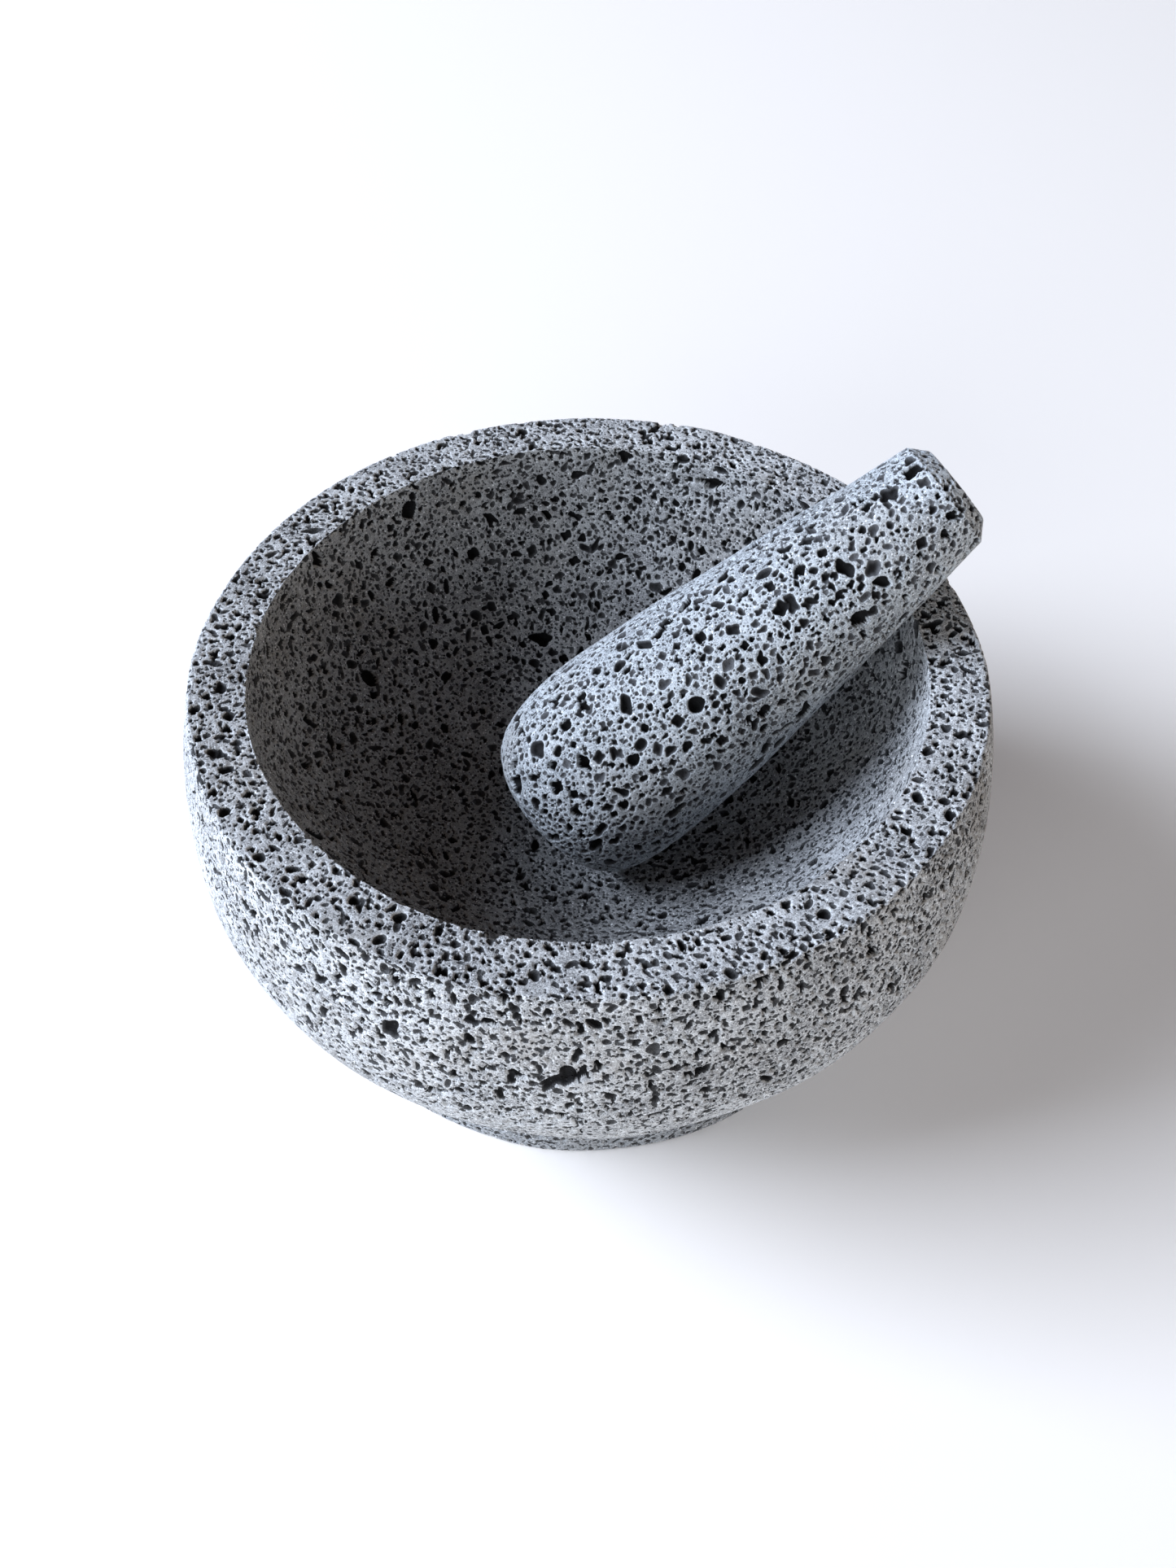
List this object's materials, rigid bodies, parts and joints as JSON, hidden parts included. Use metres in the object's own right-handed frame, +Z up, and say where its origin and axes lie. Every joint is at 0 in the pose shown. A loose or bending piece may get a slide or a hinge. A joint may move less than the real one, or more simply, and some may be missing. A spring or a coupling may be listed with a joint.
{
  "type": "molcajete",
  "caption": "Round volcanic stone mortar bowl with a flat rim and a flat foot, and a tapered stone pestle that rests in its hollow, leans on the rim and lifts out.",
  "frame": {"origin": "centre of the flat underside of the bowl's foot, on the bowl's own axis", "axes": "+Z up along the bowl's axis; -Y towards the side of the bowl nearest the viewer; the pestle leans up towards +X and a little towards +Y"},
  "size_m": [0.2154, 0.2154, 0.1501],
  "materials": {
    "bowl_stone": "ground vesicular basalt, mid grey, open dark pores, matt",
    "pestle_stone": "ground vesicular basalt, light grey, larger rounder pores, matt"
  },
  "bodies": {
    "bowl": {"mortar_bowl": "bowl_stone"},
    "pestle": {"pestle": "pestle_stone"}
  },
  "joints": [
    {"name": "pestle_lift", "type": "slide", "parent": "bowl", "child": "pestle", "axis": [0, 0, 1], "range_m": [0, 0.12]}
  ]
}
